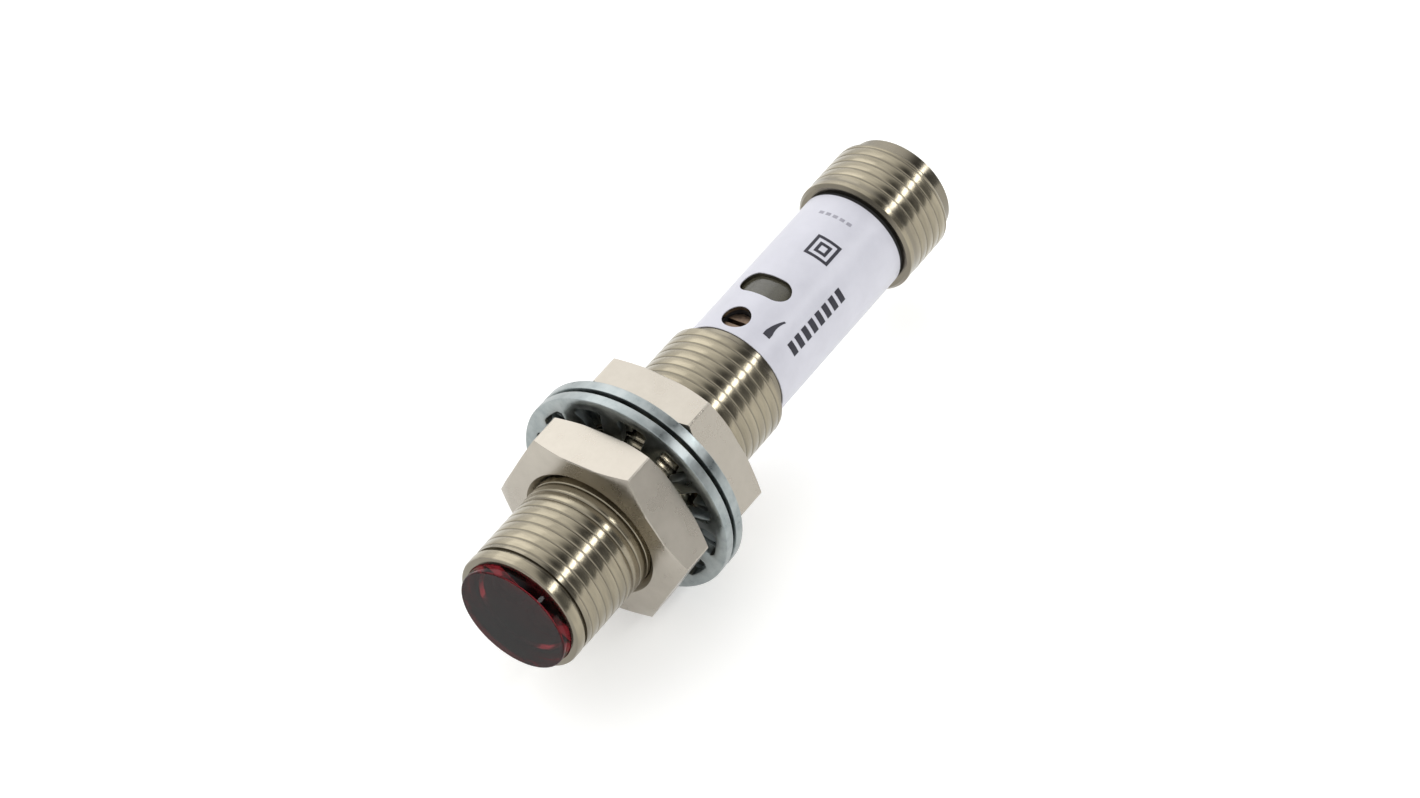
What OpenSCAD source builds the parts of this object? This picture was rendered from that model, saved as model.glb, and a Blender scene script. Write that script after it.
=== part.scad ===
// Cylindrical photoelectric sensor, M12 x 1, with a round plug connector and its two clamping nuts.
// Origin: centre of the lens face. +X: out of the lens, along the beam. +Z: the side of the adjuster and status window.
// Stations are distances back from the lens face, along -X, in millimetres.

/* [Threaded housing] */
// Outside diameter of the threaded barrel and of the plug thread
thread_d = 12; // [11:0.1:16]
// Wall of the threaded barrel, from the thread's crest to the bore
barrel_wall = 1.2; // [1.1:0.05:1.6]
// Length of the full-diameter front part, from the rim to the taper
barrel_len = 30.7; // [26:0.1:60]
// Length of the taper behind the thread
taper_len = 0.7; // [0.3:0.1:1.5]
// Length of the slim rear part that carries the label
neck_len = 19.4; // [18.5:0.1:40]
// Wall of the slim rear part
neck_wall = 0.35; // [0.3:0.05:0.65]
// Chamfer on the front rim
rim_chamfer = 0.25; // [0.05:0.05:0.5]

/* [Front window] */
// How far the window stands in front of the tube's rim
lens_proud = 1; // [0.2:0.1:1.5]
// Width of the tube's rim round the window
rim_w = 0.7; // [0.5:0.05:1]
// Depth of the tube's counterbore behind the rim
lens_seat_depth = 1.2; // [0.8:0.1:2]
// Room for the sealing ring, between the plug behind the window and the bore
lens_ring_room = 0.5; // [0.45:0.05:1]
// Length of the plug behind the window
lens_plug_len = 1.2; // [1:0.1:2]
// Chamfer on the window's front edge
lens_chamfer = 0.2; // [0.05:0.05:0.4]

/* [Optics] */
// Gap between the emitter's and the receiver's lenses
optics_gap = 0.6; // [0.3:0.1:1.2]
// Angle that the line through both optics is turned by, out of the board's plane
optics_turn = 36; // [0:1:90]
// Diameter of the small lenses
optic_d = 3.4; // [3:0.1:4.1]
// Thickness of a small lens at its centre
optic_t = 1.1; // [0.8:0.1:1.6]
// Radius of curvature of a small lens
optic_curve_r = 3; // [2:0.1:6]
// Diameter of the light tunnels behind the lenses
tunnel_d = 2.8; // [2:0.1:3]
// Length of the optics carrier
carrier_len = 11; // [8:0.5:13]
// Depth of the emitter's and the receiver's pockets in the back of the carrier
pocket_depth = 2; // [1.6:0.1:3]

/* [Circuit boards] */
// Thickness of both circuit boards
board_t = 0.8; // [0.6:0.1:1]
// Gap between the bore and each long edge of the main board
board_side_gap = 0.3; // [0.2:0.05:0.6]
// Gap between the bore and the round front board
front_board_gap = 0.2; // [0.1:0.05:0.5]
// Gap between the front board and the main board
board_gap = 0.4; // [0.2:0.1:1]
// Length of the main board that the potting holds
board_in_potting = 2; // [1:0.1:2.4]
// Length of the potting in front of the connector
potting_len = 2.8; // [2.6:0.1:4]

/* [Sensitivity adjuster] */
// Distance from the label's front edge to the adjuster's axis
adjuster_margin = 1.9; // [1.8:0.1:2.3]
// Diameter of the opening in the tube and the label
adjuster_hole_d = 2.6; // [2.5:0.1:3]
// Diameter of the slotted spindle
spindle_d = 2.4; // [2:0.1:2.9]
// Depth of the spindle's slotted end below the tube's surface
spindle_recess = 0.75; // [0.55:0.05:0.95]
// Width of the screwdriver slot
driver_slot_w = 0.5; // [0.3:0.05:0.6]
// Depth of the screwdriver slot
driver_slot_depth = 0.55; // [0.3:0.05:0.6]
// Outside diameter of the bush that guides the spindle
bush_d = 4; // [3.4:0.1:4]
// Side of the square trimmer
trimmer_w = 3.8; // [3.4:0.1:4]
// Height of the trimmer above the board
trimmer_h = 1.5; // [1.4:0.1:1.6]

/* [Status window] */
// Distance from the adjuster's axis to the middle of the status window
window_spacing = 4.5; // [4.3:0.1:6]
// Size of the window along the tube
window_len = 2.5; // [2:0.05:3]
// Size of the window across the tube
window_w = 5; // [4:0.1:5.4]
// Depth of the light guide's face below the tube's surface
window_recess = 0.3; // [0.05:0.05:0.3]
// Distance between the two status lights
status_pitch = 2.2; // [1.8:0.1:2.6]

/* [Label] */
// Thickness of the wrapped label
label_t = 0.1; // [0.05:0.01:0.15]
// Bare length of tube between the taper and the label
label_margin = 0.5; // [0.3:0.1:1]
// Gap between the label's two ends, on the side away from the adjuster
label_seam = 0.5; // [0.2:0.1:1]

/* [Plug connector] */
// Thickness of the gasket between the tube and the plug shell
gasket_t = 0.4; // [0.2:0.1:0.8]
// Length of the plug's thread
plug_thread_len = 6.1; // [4.5:0.1:7]
// Length of the chamfer behind the plug's thread
plug_chamfer = 0.6; // [0.4:0.1:1.2]
// Step down in radius from the plug's thread to its smooth end
pilot_step = 0.7; // [0.6:0.05:1]
// Length of the smooth end of the plug
pilot_len = 1.1; // [0.5:0.1:2]
// Wall of the shell where it is pressed into the tube, round the mating connector's socket
spigot_wall = 0.48; // [0.38:0.02:0.54]
// Depth of the socket, from the plug's end to the insert's face
socket_depth = 8.2; // [7.6:0.1:9.9]
// Length of the stop that the insert rests on
stop_len = 1.6; // [1:0.1:3]
// Thickness of the insulating insert
insert_t = 3.2; // [2.4:0.1:3.4]
// Width of the stop that the insert rests on
stop_w = 0.4; // [0.3:0.05:0.6]
// Width of the coding key
key_w = 1; // [0.8:0.1:1.3]
// Height of the coding key
key_h = 0.7; // [0.5:0.05:0.8]
// How far the coding key stays behind the plug's end
key_setback = 1.5; // [1:0.1:3]
// Number of contact pins
pin_count = 4; // [3:1:4]
// Diameter of the contact pins
pin_d = 1; // [0.8:0.05:1.1]
// Diameter of the circle that the contact pins stand on
pin_circle_d = 5; // [4.6:0.1:5.2]
// How far the contact pins stay behind the plug's end
pin_setback = 1.2; // [0.8:0.1:2]

/* [Clamping nuts and washers] */
// Station of the front nut's front face
front_nut_at = 11.2; // [6:0.1:12]
// Thickness of a nut
nut_t = 4.2; // [3:0.1:5]
// Size across a nut's flats
nut_af = 17; // [16:0.1:20]
// Depth of the chamfers on a nut's bore
nut_chamfer = 0.5; // [0.2:0.1:0.8]
// Depth of the cone that takes off a nut's corners
nut_crown = 0.6; // [0.3:0.1:0.9]
// Angle that the front nut is left at, from one flat facing up
front_nut_turn = 3; // [-30:1:30]
// Angle that the rear nut is left at
rear_nut_turn = 7; // [-30:1:30]
// Outside diameter of a tooth washer
washer_d = 21; // [19:0.1:22]
// Width of a washer's ring, outside its teeth
washer_ring_w = 1.2; // [0.8:0.1:2]
// Gap between the barrel and a washer's teeth
washer_tip_gap = 0.35; // [0.25:0.05:0.7]
// Gap between the front nut and its washer, which lies loose
washer_play = 0.9; // [0.05:0.05:2]
// Thickness of a washer's sheet
washer_t = 1; // [0.6:0.1:1.2]
// Number of teeth
tooth_count = 12; // [8:1:14]
// Width of a tooth
tooth_w = 1.7; // [1.2:0.05:2.3]
// Angle that each tooth is twisted by
tooth_twist = 14; // [8:1:28]

/* [Hidden] */
$fn = 72;

// clearances
seat_gap = 0.02;      // between parts that are pushed together
running_gap = 0.05;   // between parts that turn or slide on each other
stack_gap = 0.05;     // between a nut, its washer and its neighbour along the barrel
cut = 0.5;            // how far a cutting shape runs past what it cuts

// radii
thread_r = thread_d / 2;
bore_r = thread_r - barrel_wall;
neck_r = bore_r + neck_wall;
lens_r = thread_r - rim_w;
lens_seat_r = lens_r + seat_gap;
lens_plug_r = bore_r - lens_ring_room;
fill_r = bore_r - seat_gap;          // whatever is pushed into the bore
socket_r = fill_r - spigot_wall;
stop_r = socket_r - stop_w;
pilot_r = thread_r - pilot_step;
pin_r = pin_d / 2;

// stations along the tube
rim_at = lens_proud;
lens_seat_to = rim_at + lens_seat_depth;
taper_from = rim_at + barrel_len;
neck_from = taper_from + taper_len;
tube_to = neck_from + neck_len;
label_from = neck_from + label_margin;
label_r = neck_r + label_t;
adjuster_at = label_from + adjuster_margin;
window_at = adjuster_at + window_spacing;

// window seal
lens_ring_r = (bore_r - lens_plug_r) / 2 - seat_gap / 2;
lens_ring_mid_r = (bore_r + lens_plug_r) / 2;
lens_plug_to = lens_seat_to + lens_plug_len;

// optics
optic_r = optic_d / 2;
optics_pitch = optic_d + optics_gap;
carrier_gap = 0.1;
carrier_from = lens_plug_to + carrier_gap;
carrier_to = carrier_from + carrier_len;
optic_seat_depth = optic_t + carrier_gap;
pocket_from = carrier_to - pocket_depth;
pocket_r = 1.5;
led_r = 1.2;
led_len = 1.7;
diode_w = 1.9;
diode_t = 1.2;

// plug
spigot_r = fill_r;
shoulder_at = tube_to + gasket_t;
shoulder_chamfer = 0.3;
plug_thread_to = shoulder_at + plug_thread_len;
pilot_from = plug_thread_to + plug_chamfer;
plug_to = pilot_from + pilot_len;
insert_to = plug_to - socket_depth;
insert_from = insert_to - insert_t;
spigot_from = insert_from - stop_len;
pin_to = plug_to - pin_setback;
pin_tip = 0.35;
pin_root_step = 0.2;
pin_root_r = pin_r + pin_root_step;
pin_tail = 0.5;
pin_angle = 45;
lead_r = 0.3;

// boards
front_board_from = carrier_to;
front_board_to = front_board_from + board_t;
board_top = board_t / 2;
board_w = 2 * (bore_r - board_side_gap);
main_board_from = front_board_to + board_gap;
potting_from = spigot_from - potting_len;
main_board_to = potting_from + board_in_potting;
link_r = 0.25;
link_count = 4;
link_pitch = 1.6;
link_on_board = 1.6;
link_to = main_board_from + link_on_board;
lead_bend_room = 0.9;
lead_bend_at = potting_from + lead_bend_room;
// rows of components, each entry a kind: its length, width, height and the offsets across of its copies
upper_row = [[5, 5, 1, [0.6]], [1, 0.5, 0.5, [2.4, 1, -0.6]], [3, 4.2, 0.9, [0]], [1, 1.6, 0.8, [2.6, -2.6]]];
lower_row = [[3.4, 4.6, 1.2, [0]], [2, 1.25, 0.9, [1.9, -1.9]], [4, 4, 1.5, [0]], [1.6, 0.8, 0.6, [2.2, -2.2]],
    [2.9, 2.8, 1.1, [0]]];

// status lights and light guide
status_size = [0.8, 1.6, 0.7];
guide_foot_gap = 0.3;
guide_foot = board_top + status_size[2] + guide_foot_gap;
guide_flange_rim = 0.5;
guide_flange_t = 1.6;                // at its middle, from the bore inwards
guide_flange_from = bore_r - guide_flange_t;

// adjuster
adjuster_x = -adjuster_at;
spindle_top = neck_r - spindle_recess;
spindle_r = spindle_d / 2;
bush_room = 0.4;
bush_from = board_top + trimmer_h + bush_room;
rotor_r = spindle_r + running_gap;
rotor_seat = 0.8;
rotor_proud = 0.2;
rotor_from = board_top + trimmer_h - rotor_seat + running_gap;
rotor_to = board_top + trimmer_h + rotor_proud;
rotor_slot_depth = 0.4;
tongue_w = 0.5;
tongue_len = 2;
spindle_from = rotor_to + running_gap;
ring_groove_depth = 1.6;             // from the bore inwards to the middle of the spindle's seal
ring_groove_at = bore_r - ring_groove_depth;
ring_groove_w = 0.42;
ring_groove_step = 0.34;
ring_groove_r = spindle_r - ring_groove_step;
spindle_ring_r = (spindle_r + running_gap - ring_groove_r) / 2 - seat_gap / 2;
spindle_ring_mid_r = (spindle_r + running_gap + ring_groove_r) / 2;

// nuts and washers, as a stack from the front nut back
nut_bore_r = thread_r + running_gap;
nut_corner_r = nut_af / sqrt(3);
washer_h = washer_t * cos(tooth_twist) + tooth_w * sin(tooth_twist);
washer_ring_r = washer_d / 2 - washer_ring_w;
washer_tip_r = thread_r + washer_tip_gap;
front_washer_mid = front_nut_at + nut_t + washer_play + washer_h / 2;
rear_washer_mid = front_washer_mid + washer_h + stack_gap;
rear_nut_at = rear_washer_mid + washer_h / 2 + stack_gap;
tooth_root = 0.3;

// turns a shape so that its z runs back along the tube and its x points up
module along_tube() rotate([0, -90, 0]) children();

module disc(r, from, to) along_tube() translate([0, 0, from]) cylinder(r = r, h = to - from);

module upright(r, from, to) translate([0, 0, from]) cylinder(r = r, h = to - from);

module slab(at, across, from, size) translate([-at - size[0] / 2, across - size[1] / 2, from]) cube(size);

module o_ring(mid_r, r) rotate_extrude() translate([mid_r, 0]) circle(r = r, $fn = 36);

// a slot shape with round ends, width across the tube, standing up from a height
module oblong(at, len, w, from, to) translate([-at, 0, from]) {
    translate([-len / 2, -(w - len) / 2, 0]) cube([len, w - len, to - from]);
    for (side = [-1, 1]) translate([0, side * (w - len) / 2, 0]) cylinder(d = len, h = to - from);
}

module side_openings() {
    translate([adjuster_x, 0, 0]) upright(adjuster_hole_d / 2, 0, thread_r + cut);
    oblong(window_at, window_len, window_w, 0, thread_r + cut);
}

// places a child at each optical axis: 1 is the emitter, -1 the receiver
module at_optic(side) along_tube()
    rotate([0, 0, 90 + optics_turn]) translate([side * optics_pitch / 2, 0, 0]) children();

module at_pins(r) along_tube() for (i = [0 : pin_count - 1])
    rotate([0, 0, pin_angle + i * 90]) translate([r, 0, 0]) children();

module housing_tube() color([0.66, 0.63, 0.57]) difference() {
    along_tube() rotate_extrude() polygon([
        [lens_seat_r, rim_at], [thread_r - rim_chamfer, rim_at], [thread_r, rim_at + rim_chamfer],
        [thread_r, taper_from], [neck_r, neck_from], [neck_r, tube_to], [bore_r, tube_to],
        [bore_r, lens_seat_to], [lens_seat_r, lens_seat_to]]);
    side_openings();
}

module lens_cap() color([0.35, 0.05, 0.07]) along_tube() rotate_extrude() polygon([
    [0, 0], [lens_r - lens_chamfer, 0], [lens_r, lens_chamfer], [lens_r, lens_seat_to],
    [lens_plug_r, lens_seat_to], [lens_plug_r, lens_plug_to], [0, lens_plug_to]]);

module lens_o_ring() color([0.08, 0.08, 0.08])
    along_tube() translate([0, 0, lens_seat_to + lens_plug_len / 2]) o_ring(lens_ring_mid_r, lens_ring_r);

module optics_carrier() color([0.1, 0.1, 0.11]) difference() {
    disc(fill_r, carrier_from, carrier_to);
    for (side = [-1, 1]) at_optic(side) {
        translate([0, 0, carrier_from - cut]) cylinder(r = optic_r + seat_gap, h = optic_seat_depth + cut);
        translate([0, 0, carrier_from]) cylinder(d = tunnel_d, h = carrier_len);
        translate([0, 0, pocket_from]) cylinder(r = pocket_r, h = pocket_depth + cut);
    }
}

module small_lens(side) at_optic(side) translate([0, 0, carrier_from + optic_seat_depth - optic_t]) intersection() {
    cylinder(r = optic_r, h = optic_t);
    translate([0, 0, optic_curve_r]) sphere(r = optic_curve_r);
}

module emitter_lens() color([0.8, 0.75, 0.78]) small_lens(1);

module receiver_lens() color([0.8, 0.75, 0.78]) small_lens(-1);

// a domed package: a cylinder with a rounded front end
module emitter_led() color([0.75, 0.15, 0.15]) at_optic(1) translate([0, 0, carrier_to - led_len]) intersection() {
    cylinder(r = led_r, h = led_len);
    union() {
        translate([0, 0, led_r]) sphere(r = led_r);
        translate([0, 0, led_r]) cylinder(r = led_r, h = led_len - led_r);
    }
}

module photodiode() color([0.15, 0.15, 0.2]) at_optic(-1)
    translate([-diode_w / 2, -diode_w / 2, carrier_to - diode_t]) cube([diode_w, diode_w, diode_t]);

module link_pins(r) for (i = [0 : link_count - 1])
    translate([0, (i - (link_count - 1) / 2) * link_pitch, board_top + link_r])
        disc(r, front_board_from, link_to);

module front_board() color([0.1, 0.35, 0.2]) difference() {
    disc(bore_r - front_board_gap, front_board_from, front_board_to);
    link_pins(link_r + seat_gap);
}

module board_link_pins() color([0.85, 0.7, 0.35]) link_pins(link_r);

module main_board() color([0.1, 0.35, 0.2])
    translate([-main_board_to, -board_w / 2, -board_top]) cube([main_board_to - main_board_from, board_w, board_t]);

function length_before(row, i) = i == 0 ? 0 : row[i - 1][0] + length_before(row, i - 1);

// spreads a row of components evenly between two stations, on the board's upper (1) or lower (-1) face
module component_row(row, from, to, side) {
    gap = (to - from - length_before(row, len(row))) / (len(row) + 1);
    for (i = [0 : len(row) - 1]) for (across = row[i][3]) {
        at = from + gap * (i + 1) + length_before(row, i) + row[i][0] / 2;
        slab(at, across, side > 0 ? board_top : -board_top - row[i][2], [row[i][0], row[i][1], row[i][2]]);
    }
}

module board_components() color([0.12, 0.12, 0.12]) {
    component_row(upper_row, link_to, adjuster_at - trimmer_w / 2, 1);
    component_row(lower_row, main_board_from, potting_from, -1);
}

module status_leds() color([0.9, 0.8, 0.3]) for (side = [-1, 1])
    slab(window_at, side * status_pitch / 2, board_top, status_size);

module light_guide() color([0.55, 0.55, 0.45, 0.8]) {
    intersection() {
        oblong(window_at, window_len - 2 * seat_gap, window_w - 2 * seat_gap, guide_foot, thread_r);
        disc(neck_r - window_recess, 0, tube_to);
    }
    intersection() {
        oblong(window_at, window_len + 2 * guide_flange_rim, window_w + 2 * guide_flange_rim,
            guide_flange_from, thread_r);
        disc(fill_r, 0, tube_to);
    }
}

module trimmer_body() color([0.15, 0.2, 0.45]) difference() {
    slab(adjuster_at, 0, board_top, [trimmer_w, trimmer_w, trimmer_h]);
    translate([adjuster_x, 0, board_top + trimmer_h - rotor_seat])
        cylinder(r = rotor_r + running_gap, h = rotor_seat + cut);
}

module trimmer_rotor() color([0.85, 0.85, 0.8]) difference() {
    translate([adjuster_x, 0, 0]) upright(rotor_r, rotor_from, rotor_to);
    slab(adjuster_at, 0, rotor_to - rotor_slot_depth, [tongue_w, 2 * thread_r, rotor_slot_depth + cut]);
}

module adjuster_bush() color([0.12, 0.12, 0.12]) difference() {
    intersection() {
        translate([adjuster_x, 0, 0]) upright(bush_d / 2, bush_from, thread_r);
        disc(fill_r, 0, tube_to);
    }
    translate([adjuster_x, 0, 0]) upright(spindle_r + running_gap, 0, thread_r + cut);
}

module adjuster_spindle() color([0.72, 0.6, 0.35]) {
    difference() {
        translate([adjuster_x, 0, 0]) upright(spindle_r, spindle_from, spindle_top);
        slab(adjuster_at, 0, spindle_top - driver_slot_depth, [driver_slot_w, 2 * thread_r, driver_slot_depth + cut]);
        translate([adjuster_x, 0, ring_groove_at - ring_groove_w / 2]) difference() {
            cylinder(r = spindle_r + cut, h = ring_groove_w);
            cylinder(r = ring_groove_r, h = ring_groove_w);
        }
    }
    slab(adjuster_at, 0, rotor_to - rotor_slot_depth + running_gap,
        [tongue_w - 2 * seat_gap, tongue_len, rotor_slot_depth]);
}

module adjuster_o_ring() color([0.08, 0.08, 0.08])
    translate([adjuster_x, 0, ring_groove_at]) o_ring(spindle_ring_mid_r, spindle_ring_r);

module label_sleeve() color([0.9, 0.91, 0.94]) difference() {
    disc(label_r, label_from, tube_to);
    disc(neck_r, label_from - cut, tube_to + cut);
    side_openings();
    translate([-tube_to - cut, -label_seam / 2, -thread_r]) cube([neck_len + 2 * cut, label_seam, thread_r]);
}

module connector_gasket() color([0.1, 0.1, 0.1]) difference() {
    disc(neck_r, tube_to, shoulder_at);
    disc(spigot_r + seat_gap, tube_to - cut, shoulder_at + cut);
}

module connector_shell() color([0.66, 0.63, 0.57]) along_tube() rotate_extrude() polygon([
    [spigot_r, spigot_from], [spigot_r, shoulder_at], [thread_r - shoulder_chamfer, shoulder_at],
    [thread_r, shoulder_at + shoulder_chamfer], [thread_r, plug_thread_to], [pilot_r, pilot_from],
    [pilot_r, plug_to], [socket_r, plug_to], [socket_r, insert_from], [stop_r, insert_from],
    [stop_r, spigot_from]]);

module connector_insert() color([0.1, 0.1, 0.1]) difference() {
    union() {
        disc(socket_r - seat_gap, insert_from, insert_to);
        intersection() {
            disc(socket_r - seat_gap, insert_from, plug_to - key_setback);
            translate([-plug_to, -key_w / 2, socket_r - key_h]) cube([plug_to, key_w, key_h]);
        }
    }
    at_pins(pin_circle_d / 2) translate([0, 0, insert_from - cut]) cylinder(r = pin_root_r, h = insert_t + 2 * cut);
}

module contact_pins() color([0.85, 0.7, 0.35]) at_pins(pin_circle_d / 2) {
    translate([0, 0, insert_from - pin_tail]) cylinder(r = pin_root_r, h = insert_t + pin_tail);
    translate([0, 0, insert_to]) cylinder(r = pin_r, h = pin_to - pin_tip - insert_to);
    translate([0, 0, pin_to - pin_tip]) cylinder(r1 = pin_r, r2 = pin_r / 2, h = pin_tip);
}

// each lead runs forward from its pin and then turns square on to the nearer face of the board
module leads(r) for (i = [0 : pin_count - 1]) {
    angle = pin_angle + i * 90;
    up = cos(angle) * pin_circle_d / 2;
    across = sin(angle) * pin_circle_d / 2;
    translate([0, across, up]) disc(r, lead_bend_at, insert_from - pin_tail);
    translate([-lead_bend_at, across, up]) sphere(r = r);
    translate([-lead_bend_at, across, 0]) mirror([0, 0, up > 0 ? 0 : 1]) upright(r, board_top, abs(up));
}

module connector_leads() color([0.8, 0.45, 0.3]) leads(lead_r);

module potting_plug() color([0.2, 0.2, 0.22]) difference() {
    disc(fill_r, potting_from, spigot_from);
    main_board();
    leads(lead_r);
}

// a hexagon nut with its corners turned off to a shallow cone on both faces
module nut(at, turn) color([0.8, 0.78, 0.74]) along_tube() translate([0, 0, at]) difference() {
    intersection() {
        rotate([0, 0, 30 + turn]) cylinder(r = nut_corner_r, h = nut_t, $fn = 6);
        rotate_extrude() polygon([
            [0, 0], [nut_af / 2, 0], [nut_corner_r, nut_crown], [nut_corner_r, nut_t - nut_crown],
            [nut_af / 2, nut_t], [0, nut_t]]);
    }
    translate([0, 0, -cut]) cylinder(r = nut_bore_r, h = nut_t + 2 * cut);
    translate([0, 0, -cut]) cylinder(r1 = nut_bore_r + nut_chamfer + cut, r2 = nut_bore_r, h = nut_chamfer + cut);
    translate([0, 0, nut_t - nut_chamfer])
        cylinder(r1 = nut_bore_r, r2 = nut_bore_r + nut_chamfer + cut, h = nut_chamfer + cut);
}

// a flat ring with teeth that point inwards, each twisted about its own middle line
module tooth_washer(mid) color([0.72, 0.76, 0.78]) along_tube() translate([0, 0, mid]) union() {
    translate([0, 0, -washer_t / 2]) difference() {
        cylinder(d = washer_d, h = washer_t);
        translate([0, 0, -cut]) cylinder(r = washer_ring_r, h = washer_t + 2 * cut);
    }
    for (i = [0 : tooth_count - 1]) rotate([0, 0, i * 360 / tooth_count]) rotate([tooth_twist, 0, 0])
        translate([washer_tip_r, -tooth_w / 2, -washer_t / 2])
            cube([washer_ring_r - washer_tip_r + tooth_root, tooth_w, washer_t]);
}

module front_nut() nut(front_nut_at, front_nut_turn);

module front_washer() tooth_washer(front_washer_mid);

module rear_nut() nut(rear_nut_at, rear_nut_turn);

module rear_washer() tooth_washer(rear_washer_mid);

housing_tube();
lens_cap();
lens_o_ring();
optics_carrier();
emitter_lens();
receiver_lens();
emitter_led();
photodiode();
front_board();
board_link_pins();
main_board();
board_components();
status_leds();
light_guide();
trimmer_body();
trimmer_rotor();
adjuster_bush();
adjuster_spindle();
adjuster_o_ring();
label_sleeve();
connector_gasket();
connector_shell();
connector_insert();
contact_pins();
connector_leads();
potting_plug();
front_nut();
front_washer();
rear_nut();
rear_washer();
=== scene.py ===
# Photoelectric sensor, M12 barrel with plug connector, two nuts and two tooth washers.
# The lens faces +X with its centre at the origin, and the adjuster is on the +Z side.
import math
import bmesh
import bpy
from mathutils import Euler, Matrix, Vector


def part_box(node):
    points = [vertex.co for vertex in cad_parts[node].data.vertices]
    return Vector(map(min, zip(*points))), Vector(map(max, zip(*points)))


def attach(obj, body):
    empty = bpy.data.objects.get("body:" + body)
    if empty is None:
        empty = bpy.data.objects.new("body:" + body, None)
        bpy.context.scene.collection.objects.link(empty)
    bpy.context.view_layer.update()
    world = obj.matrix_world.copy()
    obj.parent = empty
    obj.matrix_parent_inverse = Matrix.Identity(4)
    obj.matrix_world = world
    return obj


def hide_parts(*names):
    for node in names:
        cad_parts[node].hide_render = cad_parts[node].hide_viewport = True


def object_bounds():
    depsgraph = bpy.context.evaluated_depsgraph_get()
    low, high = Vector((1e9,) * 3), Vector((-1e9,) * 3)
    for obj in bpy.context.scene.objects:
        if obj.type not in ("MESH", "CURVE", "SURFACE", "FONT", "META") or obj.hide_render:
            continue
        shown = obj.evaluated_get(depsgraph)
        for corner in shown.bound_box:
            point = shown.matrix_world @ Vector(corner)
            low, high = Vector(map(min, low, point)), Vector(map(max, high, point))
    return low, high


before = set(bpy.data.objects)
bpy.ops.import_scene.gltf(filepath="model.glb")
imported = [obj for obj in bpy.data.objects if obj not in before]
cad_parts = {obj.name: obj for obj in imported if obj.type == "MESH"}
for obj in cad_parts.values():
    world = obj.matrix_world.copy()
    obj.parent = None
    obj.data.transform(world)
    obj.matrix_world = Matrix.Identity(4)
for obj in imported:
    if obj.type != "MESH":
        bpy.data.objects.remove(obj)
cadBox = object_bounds()
print("frame loaded")

mm = 0.001
bpy.context.scene.view_settings.view_transform = "Standard"   # the studio white stays white
bpy.context.scene.view_settings.look = "None"


def nothingSelected():
    if bpy.context.object and bpy.context.object.mode != "OBJECT":
        bpy.ops.object.mode_set(mode="OBJECT")
    bpy.ops.object.select_all(action="DESELECT")


def onlySelect(*objs):
    nothingSelected()
    for obj in objs:
        obj.select_set(True)
    bpy.context.view_layer.objects.active = objs[0]


def newest(name):
    obj = bpy.context.object
    obj.name = name
    obj.data.name = name
    return obj


def applyPlace(obj):
    onlySelect(obj)
    bpy.ops.object.transform_apply(location=True, rotation=True, scale=True)


def applyModifier(obj, kind, **settings):
    onlySelect(obj)
    modifier = obj.modifiers.new(kind, kind)
    for name, value in settings.items():
        setattr(modifier, name, value)
    bpy.ops.object.modifier_apply(modifier=modifier.name)


def pick(obj, test):                      # in edit mode: select only the points that pass the test
    bpy.ops.mesh.select_all(action="DESELECT")
    mesh = bmesh.from_edit_mesh(obj.data)
    for vert in mesh.verts:
        vert.select = test(vert.co)
    mesh.select_flush(True)
    bmesh.update_edit_mesh(obj.data)


def mendNormals(obj, gap=0.001 * mm):     # merge doubles, then turn every face outwards
    onlySelect(obj)
    bpy.ops.object.mode_set(mode="EDIT")
    bpy.ops.mesh.select_all(action="SELECT")
    bpy.ops.mesh.remove_doubles(threshold=gap)
    bpy.ops.mesh.normals_make_consistent(inside=False)
    bpy.ops.object.mode_set(mode="OBJECT")


def drawOutline(name, points):            # points are (radius, station) in mm, in the XZ plane
    nothingSelected()
    bpy.ops.mesh.primitive_plane_add(size=mm)
    obj = newest(name)
    bpy.ops.object.mode_set(mode="EDIT")
    bpy.ops.mesh.select_all(action="SELECT")
    bpy.ops.mesh.merge(type="CENTER")
    bpy.ops.transform.translate(value=(points[0][0] * mm, 0, points[0][1] * mm))
    for (r0, z0), (r1, z1) in zip(points, points[1:]):
        step = ((r1 - r0) * mm, 0, (z1 - z0) * mm)
        bpy.ops.mesh.extrude_region_move(TRANSFORM_OT_translate={"value": step})
    bpy.ops.object.mode_set(mode="OBJECT")
    return obj


def turned(name, points, steps=128):      # a lathe-turned solid, upright, stations along +Z
    obj = drawOutline(name, points)
    applyModifier(obj, "SCREW", steps=steps, render_steps=steps, angle=math.tau, use_merge_vertices=True,
                  merge_threshold=0.0001 * mm)
    mendNormals(obj)
    return obj


def layDown(obj):                         # station z runs back along the tube, x turns to the adjuster side
    obj.rotation_euler = (0, -math.pi / 2, 0)
    applyPlace(obj)


def cutAway(obj, tool, operation="DIFFERENCE"):
    applyModifier(obj, "BOOLEAN", object=tool, operation=operation, solver="EXACT")
    bpy.data.objects.remove(tool)


def softEdges(obj, width, segments=2, angle=30):
    applyModifier(obj, "BEVEL", width=width * mm, segments=segments, limit_method="ANGLE",
                  angle_limit=math.radians(angle), harden_normals=False)


def smoothed(obj, angle=32):
    onlySelect(obj)
    bpy.ops.object.shade_smooth_by_angle(angle=math.radians(angle))
    applyModifier(obj, "WEIGHTED_NORMAL", mode="FACE_AREA", weight=100, keep_sharp=True)   # flats stay flat


def placed(obj, body, slot, material, *nodes):
    obj.data.materials.clear()
    obj.data.materials.append(material)
    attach(obj, body)
    if nodes:
        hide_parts(*nodes)


def stations(node):                       # first and last station of a CAD node, in mm
    low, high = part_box(node)
    return -high.x / mm, -low.x / mm


def reach(node):                          # largest radius of a CAD node about the tube's axis, in mm
    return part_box(node)[1].y / mm


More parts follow.
